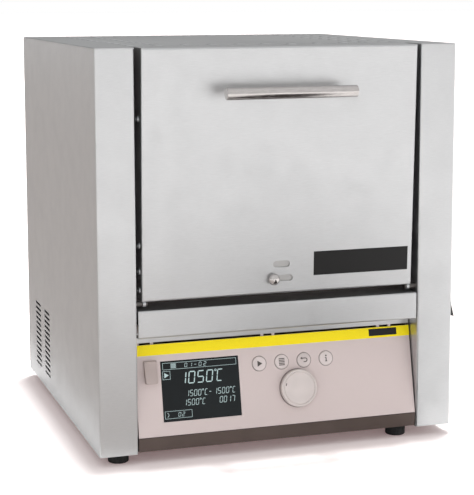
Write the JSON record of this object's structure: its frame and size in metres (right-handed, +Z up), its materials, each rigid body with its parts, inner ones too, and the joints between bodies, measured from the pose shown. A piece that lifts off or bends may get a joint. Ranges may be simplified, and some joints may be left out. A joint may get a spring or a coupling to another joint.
{
  "type": "muffle furnace",
  "caption": "Bench-top muffle furnace: steel housing, flap door with air slide, sloped control panel and a chamber between grooved heating plates.",
  "frame": {"origin": "bench surface under the middle of the whole object's bounding box, door closed", "axes": "+Z up, -Y out of the front towards the user, +X to the right as seen from the front"},
  "size_m": [0.3874, 0.421, 0.415],
  "materials": {
    "front_steel": "satin",
    "rear_steel": "satin",
    "dark_frame": "satin",
    "zinc": "satin",
    "pin_steel": "satin",
    "polished_steel": "polished",
    "slide_steel": "satin",
    "exhaust_steel": "satin",
    "fibre": "matte",
    "plate_ceramic": "matte",
    "sheath_ceramic": "matte",
    "heating_wire": "matte",
    "plinth_plastic": "satin",
    "fascia": "satin",
    "yellow_film": "satin",
    "display_glass": "gloss",
    "module_plastic": "satin",
    "circuit_board": "satin",
    "key_plastic": "satin",
    "dial_plastic": "satin",
    "plunger_plastic": "satin",
    "usb_metal": "satin",
    "usb_plastic": "satin",
    "black_plastic": "satin",
    "rocker_plastic": "satin",
    "sink_aluminium": "satin",
    "terminal_plastic": "satin",
    "foot_rubber": "matte"
  },
  "bodies": {
    "housing": {"base_plate": "rear_steel", "controller_board": "circuit_board", "controller_fascia": "fascia", "controller_housing": "plinth_plastic", "deck_plate": "rear_steel", "dial_encoder": "module_plastic", "display_module": "module_plastic", "display_window": "display_glass", "door_switch": "module_plastic", "exhaust_flange": "exhaust_steel", "exhaust_tube": "exhaust_steel", "fan_frame": "black_plastic", "fascia_stripe": "yellow_film", "feet": "foot_rubber", "floor_tile": "plate_ceramic", "front_frame": "dark_frame", "front_sill": "front_steel", "heat_sink": "sink_aluminium", "heating_plate_left": "plate_ceramic", "heating_plate_right": "plate_ceramic", "heating_wire_left": "heating_wire", "heating_wire_right": "heating_wire", "hinge_pins": "pin_steel", "inner_shell": "rear_steel", "insulation_floor": "fibre", "insulation_rear": "fibre", "insulation_roof": "fibre", "insulation_sides": "fibre", "mains_inlet": "black_plastic", "mouth_collar": "fibre", "power_switch_body": "black_plastic", "rear_cover": "rear_steel", "rear_screws": "zinc", "side_panel_left": "front_steel", "side_panel_right": "front_steel", "solid_state_relay": "black_plastic", "terminal_block": "terminal_plastic", "thermocouple": "sheath_ceramic", "top_cover": "front_steel", "usb_bezel": "usb_plastic", "usb_socket": "usb_metal"},
    "door": {"door_shell": "front_steel", "door_liner": "rear_steel", "door_insulation": "fibre", "handle_bar": "polished_steel", "handle_posts": "polished_steel", "hinge_arms": "zinc", "door_screws": "zinc"},
    "air_slide": {"air_slide_plate": "slide_steel", "air_slide_knob": "polished_steel"},
    "dial_plunger": {"dial_plunger": "plunger_plastic"},
    "jog_dial": {"jog_dial": "dial_plastic"},
    "button_start": {"button_start": "key_plastic"},
    "button_menu": {"button_menu": "key_plastic"},
    "button_back": {"button_back": "key_plastic"},
    "button_info": {"button_info": "key_plastic"},
    "usb_cover": {"usb_cover": "usb_plastic"},
    "power_rocker": {"power_rocker": "rocker_plastic"},
    "fan_rotor": {"fan_rotor": "black_plastic"},
    "door_switch_plunger": {"door_switch_plunger": "plunger_plastic"}
  },
  "joints": [
    {"name": "door_hinge", "type": "hinge", "parent": "housing", "child": "door", "pos_m": [-0.00368, -0.16649, 0.1618], "axis": [1, 0, 0], "range_deg": [0, 90]},
    {"name": "air_slide", "type": "slide", "parent": "door", "child": "air_slide", "axis": [1, 0, 0], "range_m": [0, 0.018]},
    {"name": "dial_press", "type": "slide", "parent": "housing", "child": "dial_plunger", "axis": [0, 0.9763, -0.2164], "range_m": [0, 0.0006], "stiffness_N_per_m": 1500, "springref_m": -0.0006},
    {"name": "dial_turn", "type": "hinge", "parent": "dial_plunger", "child": "jog_dial", "pos_m": [0.01702, -0.16621, 0.06254], "axis": [0, 0.9763, -0.2164], "continuous": true},
    {"name": "usb_cover_hinge", "type": "hinge", "parent": "housing", "child": "usb_cover", "pos_m": [-0.13818, -0.1598, 0.10024], "axis": [-1, 0, 0], "range_deg": [0, 110]},
    {"name": "rocker_hinge", "type": "hinge", "parent": "housing", "child": "power_rocker", "pos_m": [0.18532, -0.16049, 0.135], "axis": [0, 1, 0], "range_deg": [0, 24]},
    {"name": "fan_spin", "type": "hinge", "parent": "housing", "child": "fan_rotor", "pos_m": [-0.09568, 0.19631, 0.087], "axis": [0, 1, 0], "continuous": true},
    {"name": "door_switch_slide", "type": "slide", "parent": "housing", "child": "door_switch_plunger", "axis": [0, -1, 0], "range_m": [0, 0.003]},
    {"name": "button_start_press", "type": "slide", "parent": "housing", "child": "button_start", "axis": [0, 0.9763, -0.2164], "range_m": [0, 0.0008], "stiffness_N_per_m": 800, "springref_m": -0.0004},
    {"name": "button_menu_press", "type": "slide", "parent": "housing", "child": "button_menu", "axis": [0, 0.9763, -0.2164], "range_m": [0, 0.0008], "stiffness_N_per_m": 800, "springref_m": -0.0004},
    {"name": "button_back_press", "type": "slide", "parent": "housing", "child": "button_back", "axis": [0, 0.9763, -0.2164], "range_m": [0, 0.0008], "stiffness_N_per_m": 800, "springref_m": -0.0004},
    {"name": "button_info_press", "type": "slide", "parent": "housing", "child": "button_info", "axis": [0, 0.9763, -0.2164], "range_m": [0, 0.0008], "stiffness_N_per_m": 800, "springref_m": -0.0004}
  ],
  "couplings": [
    {"joint": "door_switch_slide", "follows": "door_hinge", "m_per_rad": 0.0019}
  ]
}
